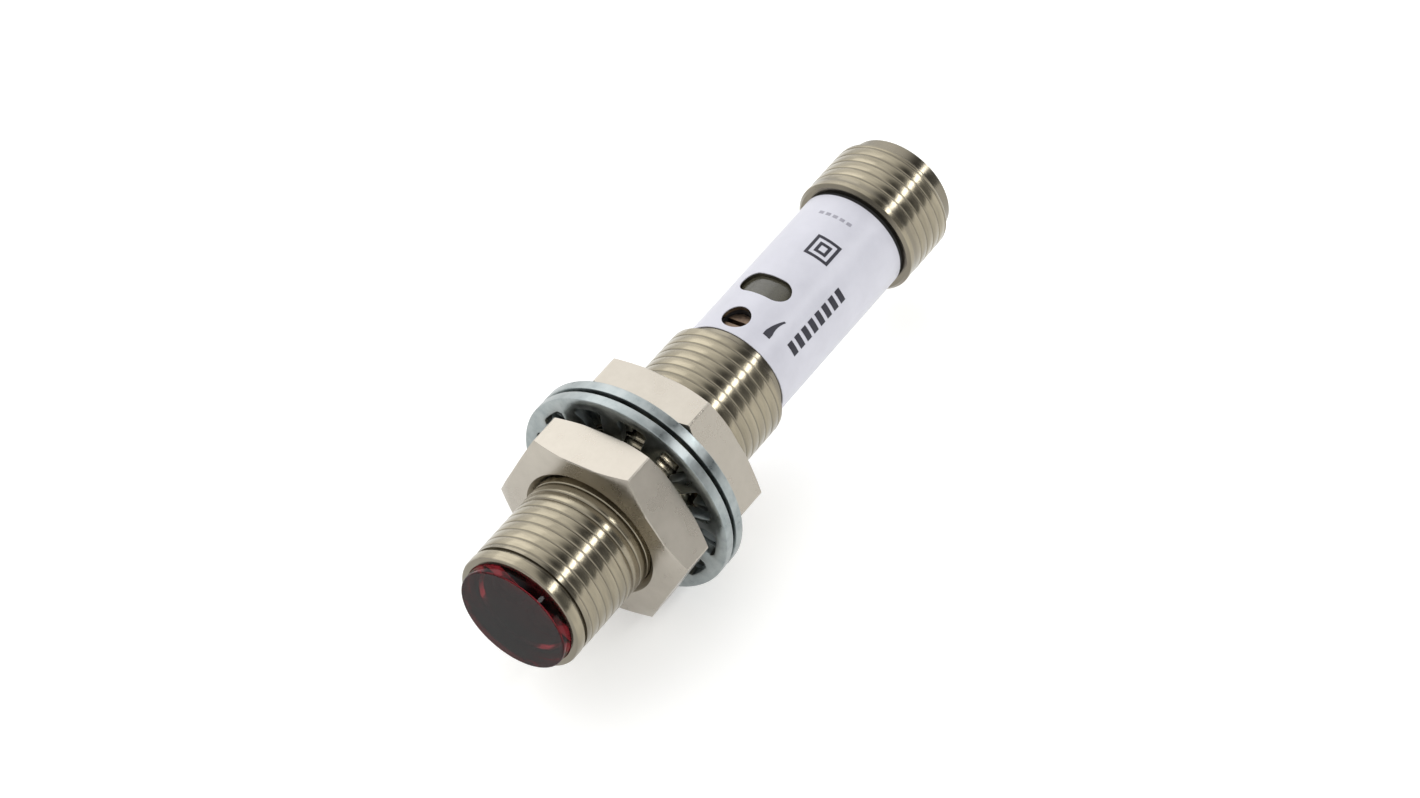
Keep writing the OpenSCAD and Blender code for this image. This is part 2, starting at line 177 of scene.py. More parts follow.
# aim and distance in mm, angles in degrees, lens and sensor in mm
cameraView = {"aim": -29.354, "distance": 386.16, "bearing": 42.80, "rise": 43.06, "roll": -11.829,
              "lens": 112.68, "sensor": 36}


def makeCamera():
    data = bpy.data.cameras.new("camera")
    camera = bpy.data.objects.new("camera", data)
    bpy.context.scene.collection.objects.link(camera)
    bearing = math.radians(cameraView["bearing"])
    rise = math.radians(cameraView["rise"])
    back = Vector((math.cos(rise) * math.cos(bearing), math.cos(rise) * math.sin(bearing), math.sin(rise)))
    camera.location = Vector((cameraView["aim"] * mm, 0, 0)) + back * cameraView["distance"] * mm
    level = (-back).to_track_quat("-Z", "Y")
    roll = Euler((0, 0, math.radians(cameraView["roll"]))).to_quaternion()
    camera.rotation_mode = "QUATERNION"
    camera.rotation_quaternion = level @ roll
    data.sensor_width = cameraView["sensor"]
    data.lens = cameraView["lens"]
    data.clip_start = 0.01
    data.clip_end = 20
    bpy.context.scene.camera = camera


def linearColour(hexText):
    values = [int(hexText[i:i + 2], 16) / 255 for i in (1, 3, 5)]
    return [v / 12.92 if v <= 0.04045 else ((v + 0.055) / 1.055) ** 2.4 for v in values] + [1]


def addNode(owner, kind, inputs=None, **settings):
    node = owner.node_tree.nodes.new(kind)
    for name, value in settings.items():
        setattr(node, name, value)
    for socket, value in (inputs or {}).items():
        if isinstance(value, bpy.types.NodeSocket):
            owner.node_tree.links.new(value, node.inputs[socket])
        else:
            node.inputs[socket].default_value = value
    return node


studio = {"walls": 1.0, "floorSize": 6, "floorColour": "#e4e4e2", "floorGlow": 0.40}
# each lamp: name, direction, distance and size in metres, watts
studioLamps = [("strip", (-0.48, 0.66, 0.575), 0.8, (0.9, 0.085), 2.1),    # the streak along the barrel
               ("key", (-0.30, -0.62, 0.72), 0.9, (0.6, 0.6), 0.9)]         # brightens the nuts' top flats
# each zone of the studio: direction, angle where it is full, angle where it ends, brightness
studioZones = [((-0.45, -0.60, 0.66), 26, 46, 1.45),    # big softbox over the far side
               ((-0.45, 0.90, 0.05), 18, 45, 0.25),    # dim wall on the near side
               ((1.0, 0.0, 0.15), 18, 45, 0.14),       # dim wall in front of the lens
               ((-0.46, 0.60, 0.65), 12, 34, 0.07)]    # black flag round the strip light


def makeStudio():
    world = bpy.data.worlds.new("studio")
    world.use_nodes = True
    world.node_tree.nodes.clear()
    bpy.context.scene.world = world
    place = addNode(world, "ShaderNodeTexCoord")
    bright = addNode(world, "ShaderNodeValue").outputs[0]
    bright.default_value = studio["walls"]
    for direction, full, end, value in studioZones:
        facing = addNode(world, "ShaderNodeVectorMath", {0: place.outputs["Generated"],
                         1: Vector(direction).normalized()}, operation="DOT_PRODUCT")
        inside = addNode(world, "ShaderNodeMapRange", {"Value": facing.outputs["Value"],
                         "From Min": math.cos(math.radians(end)), "From Max": math.cos(math.radians(full))},
                         interpolation_type="SMOOTHSTEP")
        mixed = addNode(world, "ShaderNodeMix", {0: inside.outputs[0], 2: bright, 3: value})
        bright = mixed.outputs[0]
    light = addNode(world, "ShaderNodeBackground", {"Strength": bright, "Color": (1, 1, 1, 1)})
    addNode(world, "ShaderNodeOutputWorld", {"Surface": light.outputs[0]})

    nothingSelected()
    bpy.ops.mesh.primitive_plane_add(size=studio["floorSize"], location=(0, 0, cadBox[0].z))
    floor = newest("floor")
    paper = bpy.data.materials.new("paperSweep")    # matt white background paper
    paper.use_nodes = True
    shader = paper.node_tree.nodes["Principled BSDF"]
    shader.inputs["Base Color"].default_value = linearColour(studio["floorColour"])
    shader.inputs["Roughness"].default_value = 0.9
    shader.inputs["Specular IOR Level"].default_value = 0.1
    shader.inputs["Emission Color"].default_value = (1, 1, 1, 1)
    shader.inputs["Emission Strength"].default_value = studio["floorGlow"]
    floor.data.materials.append(paper)

    for lamp in studioLamps:
        addLamp(*lamp)


def addLamp(name, direction, distance, size, watts):
    data = bpy.data.lights.new(name, "AREA")
    data.shape = "RECTANGLE"
    data.size, data.size_y = size
    data.energy = watts
    lamp = bpy.data.objects.new(name, data)
    bpy.context.scene.collection.objects.link(lamp)
    away = Vector(direction).normalized()
    lamp.location = Vector((cameraView["aim"] * mm, 0, 0)) + away * distance
    across = away.cross(Vector((1, 0, 0))).normalized()
    along = across.cross(away)
    turn = lamp.rotation_euler.to_matrix()
    turn.col[0] = along
    turn.col[1] = away.cross(along)
    turn.col[2] = away
    lamp.rotation_euler = turn.to_euler()


makeCamera()
makeStudio()
print("camera, floor and light placed")


def grained(name, dark, light, grain, rough, bump=0.0, bumpGrain=0.1, stretch=(1, 1, 1), **values):
    # colours as hex, grain and bumpGrain in mm, rough as its lowest and highest, bump as a depth in mm
    material = bpy.data.materials.new(name)
    material.use_nodes = True
    shader = material.node_tree.nodes["Principled BSDF"]
    place = addNode(material, "ShaderNodeTexCoord")
    spread = addNode(material, "ShaderNodeMapping", {"Vector": place.outputs["Object"], "Scale": stretch})
    cloud = addNode(material, "ShaderNodeTexNoise", {"Vector": spread.outputs[0], "Scale": 1 / (grain * mm),
                    "Detail": 4.0, "Roughness": 0.6})
    share = addNode(material, "ShaderNodeMapRange", {"Value": cloud.outputs[0], "From Min": 0.32,
                    "From Max": 0.68})
    tone = addNode(material, "ShaderNodeMix", {0: share.outputs[0], 6: linearColour(dark),
                   7: linearColour(light)}, data_type="RGBA")
    polish = addNode(material, "ShaderNodeMapRange", {"Value": cloud.outputs[0], "From Min": 0.3,
                     "From Max": 0.7, "To Min": rough[0], "To Max": rough[1]})
    links = material.node_tree.links
    links.new(tone.outputs[2], shader.inputs["Base Color"])
    links.new(polish.outputs[0], shader.inputs["Roughness"])
    if bump:
        fine = addNode(material, "ShaderNodeTexNoise", {"Vector": spread.outputs[0],
                       "Scale": 1 / (bumpGrain * mm), "Detail": 3.0})
        relief = addNode(material, "ShaderNodeBump", {"Height": fine.outputs[0], "Distance": bump * mm,
                         "Strength": 1.0})
        links.new(relief.outputs[0], shader.inputs["Normal"])
    for socket, value in values.items():
        shader.inputs[socket.replace("_", " ")].default_value = value
    return material


def shadeRoots(material, root, crest, shadeTone):
    # painted shade in the thread roots: the tone darkens below the crest, by distance from the tube's axis
    nodes = material.node_tree.nodes
    shader = nodes["Principled BSDF"]
    tone = shader.inputs["Base Color"].links[0].from_socket
    place = addNode(material, "ShaderNodeTexCoord")
    flat = addNode(material, "ShaderNodeVectorMath", {0: place.outputs["Object"], 1: (0, 1, 1)},
                   operation="MULTIPLY")
    far = addNode(material, "ShaderNodeVectorMath", {0: flat.outputs[0]}, operation="LENGTH")
    deep = addNode(material, "ShaderNodeMapRange", {"Value": far.outputs["Value"], "From Min": root * mm,
                   "From Max": crest * mm, "To Min": 1.0, "To Max": 0.0})
    mixed = addNode(material, "ShaderNodeMix", {0: deep.outputs[0], 6: tone, 7: linearColour(shadeTone)},
                    data_type="RGBA")
    material.node_tree.links.new(mixed.outputs[2], shader.inputs["Base Color"])


metal = {"Metallic": 1.0}
# nickel-plated brass, turned on a lathe: warm grey sheen with faint rings round the tube
barrelNickel = grained("barrelNickel", "#878070", "#9e9683", 4.0, (0.15, 0.23), 0.003, 0.3, (6, 1, 1),
                       **metal)
# nickel-plated brass nut, milled and barrelled: bright, a little cooler than the tube, with soft clouds
nutNickel = grained("nutNickel", "#a8a298", "#b4aea4", 2.5, (0.24, 0.34), **metal)
# zinc-plated spring steel with blue passivate: pale, bluish and slightly cloudy
zincSteel = grained("zincSteel", "#8a9293", "#a8aeae", 1.2, (0.26, 0.42), 0.008, 0.2, **metal)
# polyester label film, satin white with a faint orange peel
labelFilm = grained("labelFilm", "#c6c6cf", "#ceced7", 3.0, (0.34, 0.44), 0.002, 0.2)
# screen-printed ink: dense blue-black, a little duller than the film
printInk = grained("printInk", "#1d1c28", "#2a2936", 0.6, (0.45, 0.60), 0.002, 0.1)
# thin grey ink of the small print
paleInk = grained("paleInk", "#8f8e99", "#a3a2ac", 0.5, (0.45, 0.60), 0.002, 0.1)
# dyed acrylic, moulded: deep red, with a low index because the real face hardly mirrors
redAcrylic = grained("redAcrylic", "#66181f", "#7a1f27", 2.0, (0.05, 0.10), Transmission_Weight=1.0,
                     IOR=1.22)
# glass-filled PBT, moulded black: soft sheen with a fine leathery grain
blackPbt = grained("blackPbt", "#17171a", "#212124", 0.8, (0.42, 0.58), 0.006, 0.12)
# nitrile rubber, moulded: dull black that drinks the light
nitrile = grained("nitrile", "#1c1c1d", "#262627", 0.7, (0.65, 0.82), 0.006, 0.15)
# clear acrylic, polished optics
clearAcrylic = grained("clearAcrylic", "#f1f1f4", "#ffffff", 2.0, (0.01, 0.04), Transmission_Weight=1.0,
                       IOR=1.49)
# red-dyed casting epoxy of the light source: clear red jelly look
redEpoxy = grained("redEpoxy", "#a8141a", "#c01c22", 1.0, (0.05, 0.12), Transmission_Weight=0.7, IOR=1.54)
# infrared-passing epoxy of the detector: almost black with a plum cast
diodeEpoxy = grained("diodeEpoxy", "#17121c", "#211a28", 0.6, (0.12, 0.25))
# FR-4 laminate under green solder resist: glossy green with the weave showing through
boardLaminate = grained("boardLaminate", "#0f4a2a", "#176238", 0.5, (0.22, 0.36), 0.010, 0.45,
                        Coat_Weight=0.4)
# transfer-moulded epoxy of the chips: matt charcoal with a sandy grain
chipEpoxy = grained("chipEpoxy", "#1a1b1d", "#29292b", 0.4, (0.55, 0.72), 0.010, 0.1)
# phosphor-filled clear epoxy of the status lights: milky yellow
statusEpoxy = grained("statusEpoxy", "#d9c34a", "#ead875", 0.6, (0.18, 0.30), Transmission_Weight=0.25)
# smoke-tinted polycarbonate light guide: olive grey, glossy, half clear
smokeGuide = grained("smokeGuide", "#4a473a", "#5a5748", 1.4, (0.10, 0.20), 0.004, 0.4,
                     Transmission_Weight=0.35, IOR=1.58)
# blue PPS of the trimmer, moulded: satin
trimmerPps = grained("trimmerPps", "#1c3a7c", "#28498f", 0.6, (0.38, 0.50), 0.005, 0.12)
# white alumina of the trimmer's rotor: chalky and dry
rotorAlumina = grained("rotorAlumina", "#dcdad0", "#edebe3", 0.4, (0.55, 0.70), 0.006, 0.1)
# browned brass of the adjuster: dark, with brighter rubs
brownedBrass = grained("brownedBrass", "#5f5148", "#7c6a5a", 0.5, (0.30, 0.45), 0.006, 0.15, **metal)
# gold flash over nickel on the contacts
contactGold = grained("contactGold", "#c9a254", "#dcb96a", 0.9, (0.18, 0.28), **metal)
# tinned copper wire of the leads
tinnedCopper = grained("tinnedCopper", "#b08a72", "#c8a890", 0.5, (0.25, 0.38), **metal)
# two-part polyurethane potting: dark, poured, slightly wavy
pottingResin = grained("pottingResin", "#24242a", "#2e2e35", 1.6, (0.25, 0.40), 0.03, 1.2)
# painted shade in the thread roots: full at one radius and gone at the other, in mm
rootShading = {"full": 5.93, "gone": 5.99, "colour": "#7f796c"}
shadeRoots(barrelNickel, rootShading["full"], rootShading["gone"], rootShading["colour"])

nodeFinish = {"lens_o_ring": nitrile, "optics_carrier": blackPbt, "emitter_lens": clearAcrylic,
              "receiver_lens": clearAcrylic, "emitter_led": redEpoxy, "photodiode": diodeEpoxy,
              "front_board": boardLaminate, "board_link_pins": contactGold, "main_board": boardLaminate,
              "board_components": chipEpoxy, "status_leds": statusEpoxy, "light_guide": smokeGuide,
              "trimmer_body": trimmerPps, "trimmer_rotor": rotorAlumina, "adjuster_bush": blackPbt,
              "adjuster_spindle": brownedBrass, "adjuster_o_ring": nitrile, "connector_gasket": nitrile,
              "connector_leads": tinnedCopper, "potting_plug": pottingResin, "housing_tube": barrelNickel,
              "lens_cap": redAcrylic, "label_sleeve": labelFilm, "connector_shell": barrelNickel,
              "connector_insert": blackPbt, "contact_pins": contactGold, "front_nut": nutNickel,
              "rear_nut": nutNickel, "front_washer": zincSteel, "rear_washer": zincSteel}
for nodeName, material in nodeFinish.items():
    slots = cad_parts[nodeName].data.materials
    slots.clear()
    slots.append(material)
print("materials made")


# far shallower than a standard thread, so that the barrel still reads as one smooth, streaked surface
thread = {"pitch": 1.0, "depth": 0.06, "steps": 96, "play": 0.05}
# one pitch of the thread's outline: (share of the pitch, share of the depth)
threadForm = [(0, 0), (0.76, 0), (0.79, 0.14), (0.84, 0.86), (0.86, 1), (0.90, 1), (0.92, 0.86),
              (0.97, 0.14), (1, 0)]


def threadSkin(name, crest, first, last, fill=False):
    # every thread starts at a whole turn, so that barrel and nuts stay in step
    pitch, depth = thread["pitch"], thread["depth"]
    start = math.floor(first / pitch - 1) * pitch
    turns = math.ceil((last - start) / pitch) + 1
    outline = [(crest - deep * depth, start + along * pitch) for along, deep in threadForm]
    obj = drawOutline(name, outline)
    applyModifier(obj, "SCREW", steps=thread["steps"], render_steps=thread["steps"], angle=math.tau,
                  screw_offset=pitch * mm, iterations=turns)
    mendNormals(obj, 0.005 * mm)
    bpy.ops.object.mode_set(mode="EDIT")
    for station, side in ((first, -1), (last, 1)):
        bpy.ops.mesh.select_all(action="SELECT")
        bpy.ops.mesh.bisect(plane_co=(0, 0, station * mm), plane_no=(0, 0, side), clear_outer=True,
                            use_fill=fill, threshold=0.0001 * mm)
    if fill:
        bpy.ops.mesh.select_all(action="SELECT")
        bpy.ops.mesh.normals_make_consistent(inside=False)
    bpy.ops.object.mode_set(mode="OBJECT")
    return obj


def runOut(obj, radius, first, last, frontFade, backFade):
    # the thread fades to one radius at both ends, as where a die runs out
    for vert in obj.data.vertices:
        along = vert.co.z / mm
        share = min(1, max(1 - (along - first) / frontFade, 1 - (last - along) / backFade, 0))
        now = math.hypot(vert.co.x, vert.co.y)
        wanted = now + (radius * mm - now) * share
        vert.co.x *= wanted / now
        vert.co.y *= wanted / now


def pickRims(obj, station):               # in edit mode: select the open edges at a station
    bpy.ops.mesh.select_all(action="DESELECT")
    mesh = bmesh.from_edit_mesh(obj.data)
    for edge in mesh.edges:
        if edge.is_boundary and all(abs(vert.co.z / mm - station) < 0.001 for vert in edge.verts):
            edge.select_set(True)
    bmesh.update_edit_mesh(obj.data)


def growLoop(obj, station, radius, stops):
    # extrudes the open edge at a station through (radius, station) stops
    pickRims(obj, station)
    for nextRadius, nextStation in stops:
        bpy.ops.mesh.extrude_region_move(
            TRANSFORM_OT_translate={"value": (0, 0, (nextStation - station) * mm)})
        share = nextRadius / radius
        bpy.ops.transform.resize(value=(share, share, 1), center_override=(0, 0, nextStation * mm))
        radius, station = nextRadius, nextStation


# radii, stations from the lens face and widths, in mm
housing = {"reliefFrom": 2.12, "reliefTo": 2.50, "reliefRadius": 5.72, "startFade": 0.45, "rimBevel": 0.25,
           "rimRound": 0.07, "edge": 0.05, "collarEdge": 0.06, "reliefSlope": 0.08, "seatRadius": 5.32,
           "seatTo": 2.2, "boreRadius": 4.8, "neckRadius": 5.15, "taperFrom": 31.7, "taperTo": 32.4}
opening = {"holeRadius": 1.3, "windowRadius": 1.25, "windowSpread": 1.25, "cutMiddle": 6, "cutHeight": 8}


def sideCutters(grow=0.0):                # the adjuster's round hole and the status window's oblong
    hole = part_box("adjuster_spindle")
    holeX = (hole[0].x + hole[1].x) / 2
    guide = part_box("light_guide")
    windowX = (guide[0].x + guide[1].x) / 2
    tools = []
    for name, middleX, radius in (("holeCutter", holeX, opening["holeRadius"]),
                                  ("windowCutter", windowX, opening["windowRadius"])):
        nothingSelected()
        bpy.ops.mesh.primitive_cylinder_add(vertices=64, radius=(radius + grow) * mm,
                                            depth=opening["cutHeight"] * mm,
                                            location=(middleX, 0, opening["cutMiddle"] * mm))
        tools.append(newest(name))
    oblong = tools[1]
    spread = opening["windowSpread"] * mm
    nearLine = 0.1 * mm                       # a point nearer the middle line than this stays there
    bpy.ops.object.mode_set(mode="EDIT")
    pick(oblong, lambda co: co.y > nearLine)
    bpy.ops.transform.translate(value=(0, spread, 0))
    pick(oblong, lambda co: co.y < -nearLine)
    bpy.ops.transform.translate(value=(0, -spread, 0))
    bpy.ops.object.mode_set(mode="OBJECT")
    for tool in tools:
        applyPlace(tool)
    return tools


def makeHousing():
    rimAt, tubeTo = stations("housing_tube")
    crest = reach("housing_tube")
    root = crest - thread["depth"]
    slope = (crest - housing["neckRadius"]) / (housing["taperTo"] - housing["taperFrom"])
    backFade = thread["depth"] / slope
    first, last = housing["reliefTo"], housing["taperFrom"] + backFade
    obj = threadSkin("housing_piece", crest, first, last)
    runOut(obj, root, first, last, housing["startFade"], backFade)
    onlySelect(obj)
    bpy.ops.object.mode_set(mode="EDIT")
    rim, rimRound, edge = housing["rimBevel"], housing["rimRound"], housing["edge"]
    collar, collarEdge, relief = housing["reliefFrom"], housing["collarEdge"], housing["reliefRadius"]
    seat, bore, neck = housing["seatRadius"], housing["boreRadius"], housing["neckRadius"]
    growLoop(obj, first, root, [
        (relief, first - edge), (relief, collar + housing["reliefSlope"]), (crest - collarEdge, collar),
        (crest, collar - collarEdge), (crest, rimAt + rim), (crest - rimRound, rimAt + rimRound),
        (crest - rim, rimAt), (seat + edge, rimAt), (seat, rimAt + edge), (seat, housing["seatTo"]),
        (bore, housing["seatTo"]), (bore, tubeTo)])
    growLoop(obj, last, root, [(neck, housing["taperTo"]), (neck, tubeTo - edge), (neck - edge, tubeTo)])
    pickRims(obj, tubeTo)
    bpy.ops.mesh.bridge_edge_loops()
    bpy.ops.object.mode_set(mode="OBJECT")
    mendNormals(obj)
    layDown(obj)
    for tool in sideCutters():
        cutAway(obj, tool)
    smoothed(obj, 30)
    placed(obj, "root", "nickel_brass", barrelNickel, "housing_tube")


makeHousing()
print("housing made")


nut = {"flats": 17, "crown": 0.6, "countersink": 0.55, "edge": 0.12, "overlap": 0.01, "overcut": 0.5}


def makeNut(node, turn):                  # turn is the angle in degrees that its flat is off the top
    first, last = stations(node)
    corner = nut["flats"] / math.sqrt(3)
    flat = nut["flats"] / 2
    crown = nut["crown"]
    barrel = reach("housing_tube")
    bore = barrel - thread["depth"] + thread["play"] - nut["overlap"]
    mouth = barrel + nut["countersink"]
    outside = corner + nut["overlap"]
    past = nut["overcut"]
    nothingSelected()
    bpy.ops.mesh.primitive_cylinder_add(vertices=6, radius=corner * mm, depth=(last - first) * mm,
                                        location=(0, 0, (first + last) / 2 * mm),
                                        rotation=(0, 0, math.radians(turn)))
    obj = newest(node + "_piece")
    applyPlace(obj)
    softEdges(obj, nut["edge"], 3)
    crownTool = turned("crownTool", [(0, first), (flat, first), (outside, first + crown),
                       (outside, last - crown), (flat, last), (0, last)], 120)
    cutAway(obj, crownTool, "INTERSECT")
    drill = turned("drill", [(0, first - past), (mouth + past, first - past), (bore, first + mouth - bore),
                   (bore, last - mouth + bore), (mouth + past, last + past), (0, last + past)], 96)
    cutAway(obj, drill)
    tap = threadSkin("tap", barrel + thread["play"], first - 2 * past, last + 2 * past, fill=True)
    cutAway(obj, tap)
    layDown(obj)
    smoothed(obj, 40)
    placed(obj, node, "nut_nickel", nutNickel, node)


for nutName, nutTurn in (("front_nut", 3), ("rear_nut", 7)):
    makeNut(nutName, nutTurn)
print("nuts made")


washer = {"sheet": 1.0, "ringRadius": 9.3, "teeth": 12, "twist": 13.5, "edge": 0.12}
# each step of a tooth: towards the axis in mm, share of the twist, narrowing
toothSteps = [(0.25, 0.02, 0.7), (0.35, 0.28, 1), (0.35, 0.40, 1), (0.30, 0.30, 1), (0.75, 0, 1),
              (0.95, 0, 0.94)]


def makeWasher(node):
    first, last = stations(node)
    middle = (first + last) / 2
    rim, ring, sector = reach(node), washer["ringRadius"], math.tau / washer["teeth"]
    obj = drawOutline(node + "_piece", [(rim, middle), ((rim + ring) / 2, middle), (ring, middle)])
    obj.rotation_euler = (0, 0, sector / 2)          # spin runs clockwise from here
    applyPlace(obj)
    bpy.ops.object.mode_set(mode="EDIT")
    bpy.ops.mesh.select_all(action="SELECT")
    bpy.ops.mesh.spin(steps=8, angle=sector, center=(0, 0, 0), axis=(0, 0, 1))
    near = 0.01
    half = ring * math.sin(sector / 4)               # the middle half of the sector carries the tooth
    pick(obj, lambda co: math.hypot(co.x, co.y) < (ring + near) * mm and abs(co.y) < (half + near) * mm)
    for inward, share, narrowing in toothSteps:
        bpy.ops.mesh.extrude_region_move(TRANSFORM_OT_translate={"value": (-inward * mm, 0, 0)})
        bpy.ops.transform.resize(value=(1, narrowing, 1), center_override=(0, 0, middle * mm))
        if share:
            bpy.ops.transform.rotate(value=-math.radians(washer["twist"] * share), orient_axis="X",
                                     center_override=(0, 0, middle * mm))
    bpy.ops.mesh.select_all(action="SELECT")
    bpy.ops.mesh.spin(steps=washer["teeth"], angle=math.tau, center=(0, 0, 0), axis=(0, 0, 1), dupli=True)
    bpy.ops.object.mode_set(mode="OBJECT")
    mendNormals(obj)
    applyModifier(obj, "SOLIDIFY", thickness=washer["sheet"] * mm, offset=0, use_even_offset=True)
    softEdges(obj, washer["edge"], 2, 35)
    layDown(obj)
    smoothed(obj, 30)
    placed(obj, node, "zinc_steel", zincSteel, node)


for washerName in ("front_washer", "rear_washer"):
    makeWasher(washerName)
print("washers made")


window = {"edge": 0.14, "plugRadius": 4.3, "shoulder": 2.2}


def makeWindow():
    front, back = stations("lens_cap")
    rim = reach("lens_cap")
    obj = turned("window_piece", [(0, front), (rim, front), (rim, window["shoulder"]),
                 (window["plugRadius"], window["shoulder"]), (window["plugRadius"], back), (0, back)])
    softEdges(obj, window["edge"], 3)
    layDown(obj)
    smoothed(obj)
    placed(obj, "root", "red_window", redAcrylic, "lens_cap")


makeWindow()
print("window made")


label = {"glueGap": 0.004, "holeGap": 0.02, "seam": 0.5, "seamCut": 2, "cardHeight": 8, "inkLift": 0.003,
         "inkDepth": 0.012}


def makeLabel():
    first, last = stations("label_sleeve")
    outer = reach("label_sleeve")
    inner = housing["neckRadius"] + label["glueGap"]
    obj = turned("label_piece", [(inner, first), (outer, first), (outer, last), (inner, last),
                 (inner, first)], 144)
    layDown(obj)
    for tool in sideCutters(label["holeGap"]):
        cutAway(obj, tool)
    nothingSelected()
    bpy.ops.mesh.primitive_cube_add(size=1, location=(-(first + last) / 2 * mm, 0, -outer * mm))
    seam = newest("seamCutter")
    seam.scale = (2 * (last - first) * mm, label["seam"] * mm, label["seamCut"] * mm)
    applyPlace(seam)
    cutAway(obj, seam)
    smoothed(obj)
    placed(obj, "root", "label_film", labelFilm, "label_sleeve")


def flatCard(name, station, across, length, width, cuts):   # a flat mark over the label, in mm
    nothingSelected()
    bpy.ops.mesh.primitive_plane_add(size=1, location=(-station * mm, across * mm,
                                                       label["cardHeight"] * mm))
    obj = newest(name)
    obj.scale = (length * mm, width * mm, 1)
    applyPlace(obj)
    bpy.ops.object.mode_set(mode="EDIT")
    bpy.ops.mesh.select_all(action="SELECT")
    bpy.ops.mesh.subdivide(number_cuts=cuts)
    bpy.ops.object.mode_set(mode="OBJECT")
    return obj


def repeated(obj, count, step):
    applyModifier(obj, "ARRAY", count=count, use_relative_offset=False, use_constant_offset=True,
                  constant_offset_displace=step)


def printed(obj, around, material):       # lays a flat mark on the label, then turns it round the tube
    first, last = stations("label_sleeve")
    form = turned("wrapForm", [(0, first), (reach("label_sleeve"), first), (reach("label_sleeve"), last),
                  (0, last)], 256)
    layDown(form)
    applyModifier(obj, "SHRINKWRAP", target=form, wrap_method="PROJECT", use_project_z=True,
                  use_negative_direction=True, use_positive_direction=False, offset=label["inkLift"] * mm)
    bpy.data.objects.remove(form)
    applyModifier(obj, "SOLIDIFY", thickness=label["inkDepth"] * mm, offset=1)
    obj.rotation_euler = (-math.radians(around), 0, 0)
    applyPlace(obj)
    smoothed(obj)
    placed(obj, "root", "label_film", material)


# a mark's station and sizes in mm, and the angle round the tube from the adjuster's side
scalePrint = {"station": 36.0, "around": 64, "length": 0.66, "width": 1.3, "step": 1.06, "count": 8}
turnPrint = {"station": 34.9, "around": 36, "length": 0.5, "width": 0.75, "step": 0.32, "lean": 0.03,
             "moves": 6, "shrink": (0.86, 0.80, 1)}
squarePrint = {"station": 45.6, "around": 21, "outer": 2.5, "inner": 1.25, "line": 0.3}
dashPrint = {"station": 49.4, "around": 8, "length": 0.34, "width": 0.46, "step": 0.72, "count": 5,
             "across": -1.45}


def makeScalePrint():                     # a bold segmented scale along the tube
    bar = flatCard("scale_print", scalePrint["station"], 0, scalePrint["length"], scalePrint["width"], 7)
    repeated(bar, scalePrint["count"], (-scalePrint["step"] * mm, 0, 0))
    printed(bar, scalePrint["around"], printInk)


def makeTurnPrint():                      # a curved wedge beside the adjuster: which way gives more range
    obj = flatCard("turn_print", turnPrint["station"], 0, turnPrint["length"], turnPrint["width"], 3)
    onlySelect(obj)
    bpy.ops.object.mode_set(mode="EDIT")
    tip = -turnPrint["station"] - turnPrint["length"] / 2
    pick(obj, lambda co: co.x < (tip + 0.001) * mm)
    for move in range(turnPrint["moves"]):
        step = (-turnPrint["step"] * mm, turnPrint["lean"] * move * mm, 0)
        bpy.ops.mesh.extrude_region_move(TRANSFORM_OT_translate={"value": step})
        bpy.ops.transform.resize(value=turnPrint["shrink"])
    bpy.ops.object.mode_set(mode="OBJECT")
    printed(obj, turnPrint["around"], printInk)


def makeSquarePrint():                    # one square inside another
    station = squarePrint["station"]
    outer = flatCard("square_print", station, 0, squarePrint["outer"], squarePrint["outer"], 0)
    inner = flatCard("innerSquare", station, 0, squarePrint["inner"], squarePrint["inner"], 0)
    for obj in (outer, inner):
        onlySelect(obj)
        bpy.ops.object.mode_set(mode="EDIT")
        bpy.ops.mesh.select_all(action="SELECT")
        bpy.ops.mesh.inset(thickness=squarePrint["line"] * mm)
        bpy.ops.mesh.delete(type="FACE")
        bpy.ops.mesh.select_all(action="SELECT")
        bpy.ops.mesh.subdivide(number_cuts=7)
        bpy.ops.object.mode_set(mode="OBJECT")
    onlySelect(outer, inner)
    bpy.ops.object.join()
    printed(outer, squarePrint["around"], printInk)


def makeDashPrint():                      # a faint row of short dashes near the plug
    dash = flatCard("dash_print", dashPrint["station"], dashPrint["across"], dashPrint["length"],
                    dashPrint["width"], 3)
    repeated(dash, dashPrint["count"], (0, dashPrint["step"] * mm, 0))
    printed(dash, dashPrint["around"], paleInk)


makeLabel()
makeScalePrint()
makeTurnPrint()
makeSquarePrint()
makeDashPrint()
print("label and print made")


# radii, stations from the lens face and widths, in mm
plug = {"shoulder": 52.2, "shoulderBevel": 0.3, "collarTo": 53.0, "collarEdge": 0.05, "threadFrom": 53.35,
        "startFade": 0.35, "threadTo": 58.3, "pilotFrom": 58.9, "pilotRadius": 5.3, "mouthBevel": 0.15,
        "spigotGap": 0.02, "socketRadius": 4.3, "stopRadius": 3.9}
insert = {"from": 48.6, "to": 51.8, "gap": 0.02, "edge": 0.12, "grooveFrom": 0.5, "grooveTo": 0.95,
          "grooveSlant": 0.1, "grooveDepth": 0.25, "keyWidth": 1.0, "keyHeight": 0.68}
pin = {"circle": 2.5, "radius": 0.5, "root": 0.7, "to": 58.8, "dome": 0.4}


